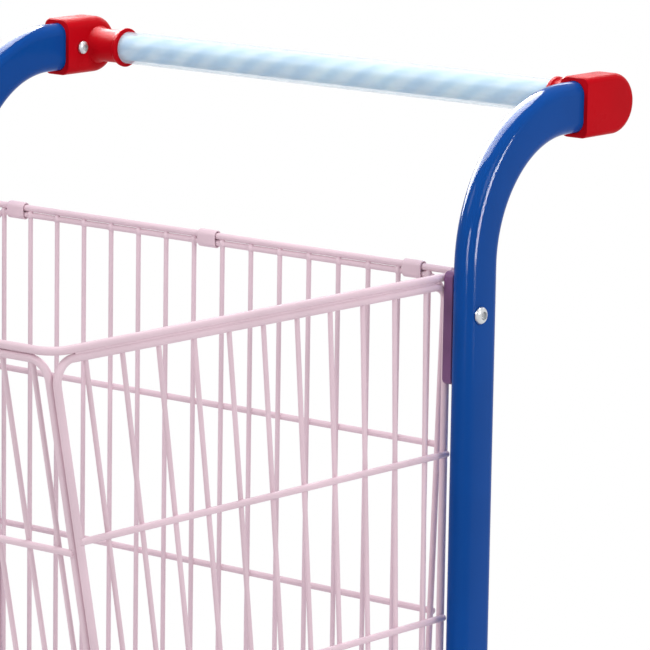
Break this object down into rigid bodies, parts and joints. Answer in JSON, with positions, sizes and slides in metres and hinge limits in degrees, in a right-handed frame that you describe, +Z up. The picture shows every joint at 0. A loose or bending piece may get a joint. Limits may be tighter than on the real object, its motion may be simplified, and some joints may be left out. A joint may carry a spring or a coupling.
{
  "type": "rolling basket trolley",
  "caption": "Small nesting shopping trolley: bent blue posts on a castored U-shaped base carry a pink wire basket with a swinging rear gate; red brackets hold a clear-sleeved handle.",
  "frame": {"origin": "on the floor under the middle of the object's box", "axes": "+Z up, -Y the front that leads when it is pushed, +Y the handle end, +X the left of the person who pushes"},
  "size_m": [0.465, 0.4894, 0.9435],
  "materials": {
    "blue_paint": "glossy enamel",
    "pink_coating": "satin powder coat",
    "plum_plate": "satin",
    "red_plastic": "satin moulded",
    "clear_sleeve": "clear, pale blue",
    "zinc_steel": "zinc plated",
    "black_plastic": "moulded",
    "grey_plastic": "moulded",
    "grey_rubber": "matt tread"
  },
  "bodies": {
    "trolley": {"left_post": "blue_paint", "right_post": "blue_paint", "chassis": "blue_paint", "basket_cradle": "blue_paint", "left_chassis_plug": "black_plastic", "right_chassis_plug": "black_plastic", "left_handle_bracket": "red_plastic", "right_handle_bracket": "red_plastic", "left_bracket_screw": "zinc_steel", "right_bracket_screw": "zinc_steel", "handle_core": "zinc_steel", "handle_sleeve": "clear_sleeve", "left_basket_plate": "plum_plate", "right_basket_plate": "plum_plate", "left_plate_screw": "zinc_steel", "right_plate_screw": "zinc_steel", "rim_rod": "pink_coating", "hinge_rod": "pink_coating", "left_side_panel": "pink_coating", "right_side_panel": "pink_coating", "front_panel": "pink_coating", "floor_panel": "pink_coating", "front_left_castor_race": "zinc_steel", "front_left_castor_bolt": "zinc_steel", "front_left_castor_nut": "zinc_steel", "front_right_castor_race": "zinc_steel", "front_right_castor_bolt": "zinc_steel", "front_right_castor_nut": "zinc_steel", "rear_left_castor_race": "zinc_steel", "rear_left_castor_bolt": "zinc_steel", "rear_left_castor_nut": "zinc_steel", "rear_right_castor_race": "zinc_steel", "rear_right_castor_bolt": "zinc_steel", "rear_right_castor_nut": "zinc_steel"},
    "gate": {"rear_gate": "pink_coating", "left_hinge_clip": "pink_coating", "middle_hinge_clip": "pink_coating", "right_hinge_clip": "pink_coating"},
    "front_left_swivel": {"front_left_castor_fork": "zinc_steel", "front_left_castor_axle": "zinc_steel"},
    "front_left_wheel": {"front_left_castor_hub": "grey_plastic", "front_left_castor_tyre": "grey_rubber"},
    "front_right_swivel": {"front_right_castor_fork": "zinc_steel", "front_right_castor_axle": "zinc_steel"},
    "front_right_wheel": {"front_right_castor_hub": "grey_plastic", "front_right_castor_tyre": "grey_rubber"},
    "rear_left_swivel": {"rear_left_castor_fork": "zinc_steel", "rear_left_castor_axle": "zinc_steel"},
    "rear_left_wheel": {"rear_left_castor_hub": "grey_plastic", "rear_left_castor_tyre": "grey_rubber"},
    "rear_right_swivel": {"rear_right_castor_fork": "zinc_steel", "rear_right_castor_axle": "zinc_steel"},
    "rear_right_wheel": {"rear_right_castor_hub": "grey_plastic", "rear_right_castor_tyre": "grey_rubber"}
  },
  "joints": [
    {"name": "gate_swing", "type": "hinge", "parent": "trolley", "child": "gate", "pos_m": [0, 0.10372, 0.8337], "axis": [-1, 0, 0], "range_deg": [0, 80]},
    {"name": "front_left_turn", "type": "hinge", "parent": "trolley", "child": "front_left_swivel", "pos_m": [0.15825, -0.14927, 0.128], "axis": [0, 0, 1], "continuous": true},
    {"name": "front_left_roll", "type": "hinge", "parent": "front_left_swivel", "child": "front_left_wheel", "pos_m": [0.15825, -0.11728, 0.05], "axis": [1, 0, 0], "continuous": true},
    {"name": "front_right_turn", "type": "hinge", "parent": "trolley", "child": "front_right_swivel", "pos_m": [-0.15825, -0.14927, 0.128], "axis": [0, 0, 1], "continuous": true},
    {"name": "front_right_roll", "type": "hinge", "parent": "front_right_swivel", "child": "front_right_wheel", "pos_m": [-0.15825, -0.11728, 0.05], "axis": [1, 0, 0], "continuous": true},
    {"name": "rear_left_turn", "type": "hinge", "parent": "trolley", "child": "rear_left_swivel", "pos_m": [0.20925, 0.15373, 0.128], "axis": [0, 0, 1], "continuous": true},
    {"name": "rear_left_roll", "type": "hinge", "parent": "rear_left_swivel", "child": "rear_left_wheel", "pos_m": [0.20925, 0.18573, 0.05], "axis": [1, 0, 0], "continuous": true},
    {"name": "rear_right_turn", "type": "hinge", "parent": "trolley", "child": "rear_right_swivel", "pos_m": [-0.20925, 0.15373, 0.128], "axis": [0, 0, 1], "continuous": true},
    {"name": "rear_right_roll", "type": "hinge", "parent": "rear_right_swivel", "child": "rear_right_wheel", "pos_m": [-0.20925, 0.18573, 0.05], "axis": [1, 0, 0], "continuous": true}
  ]
}
